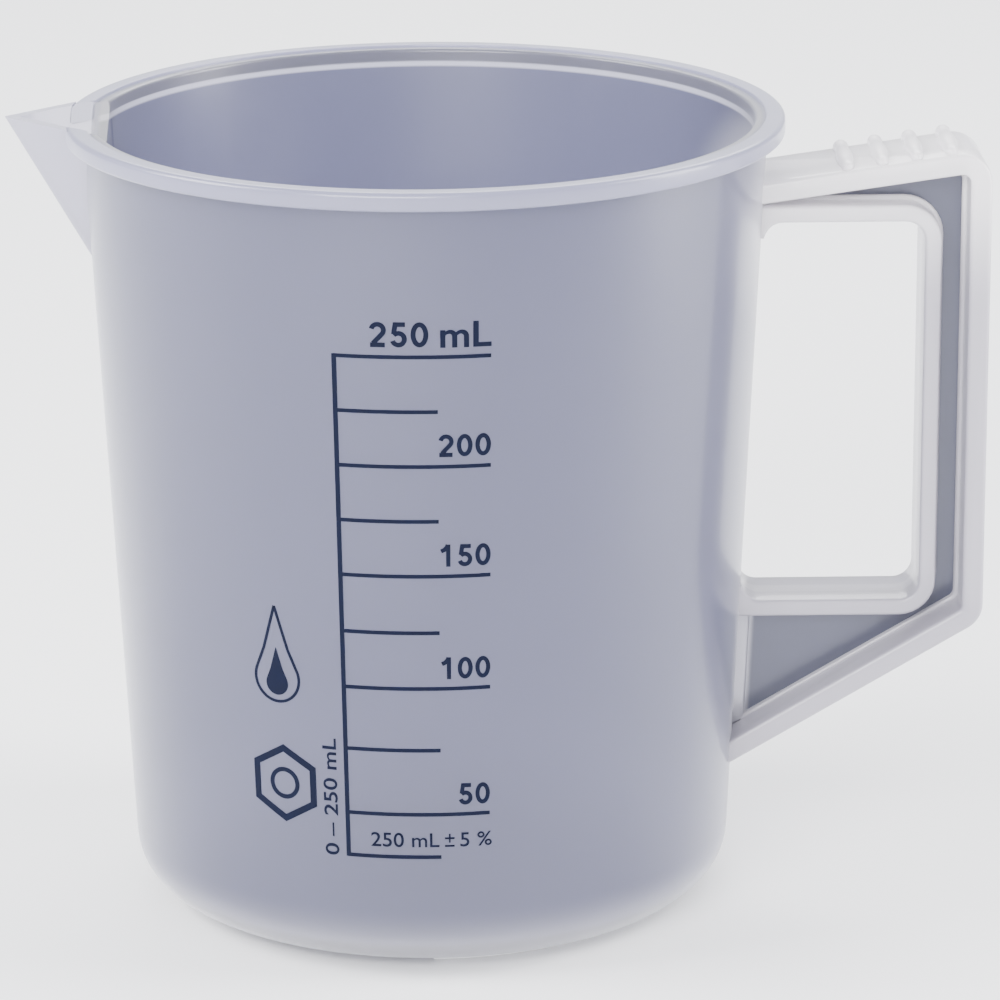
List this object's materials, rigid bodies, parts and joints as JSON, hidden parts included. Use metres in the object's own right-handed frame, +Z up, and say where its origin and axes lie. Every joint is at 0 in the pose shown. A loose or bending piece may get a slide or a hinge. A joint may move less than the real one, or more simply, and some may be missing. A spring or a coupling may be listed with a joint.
{
  "type": "measuring beaker",
  "caption": "Moulded translucent plastic measuring beaker with a tapered body, flanged rim, V-shaped pouring spout and a flanged handle framing a finger opening.",
  "frame": {"origin": "centre of the bounding box's underside: on the standing surface, midway between the spout's tip and the handle's outer face; the vessel's axis is at x = -7.95 mm", "axes": "+Z up, parallel to the vessel's axis, +X from the vessel towards the handle, so the spout points to -X; the printed scale faces -Y"},
  "size_m": [0.1094, 0.08, 0.0902],
  "materials": {
    "wall_plastic": "translucent natural polypropylene, smooth",
    "rim_plastic": "translucent natural polypropylene, thick section, smooth",
    "handle_plastic": "translucent natural polypropylene, smooth",
    "scale_ink": "navy screen-printed ink"
  },
  "bodies": {
    "root": {"vessel_wall": "wall_plastic", "base_disc": "wall_plastic", "rim_flange": "rim_plastic", "pouring_spout": "rim_plastic", "handle_outer_flange": "handle_plastic", "finger_opening_frame": "handle_plastic", "handle_web": "handle_plastic", "thumb_ridge_1": "handle_plastic", "thumb_ridge_2": "handle_plastic", "thumb_ridge_3": "handle_plastic", "thumb_ridge_4": "handle_plastic", "foot_arc_1": "wall_plastic", "foot_arc_2": "wall_plastic", "foot_arc_3": "wall_plastic", "printed_scale": "scale_ink"}
  },
  "joints": []
}
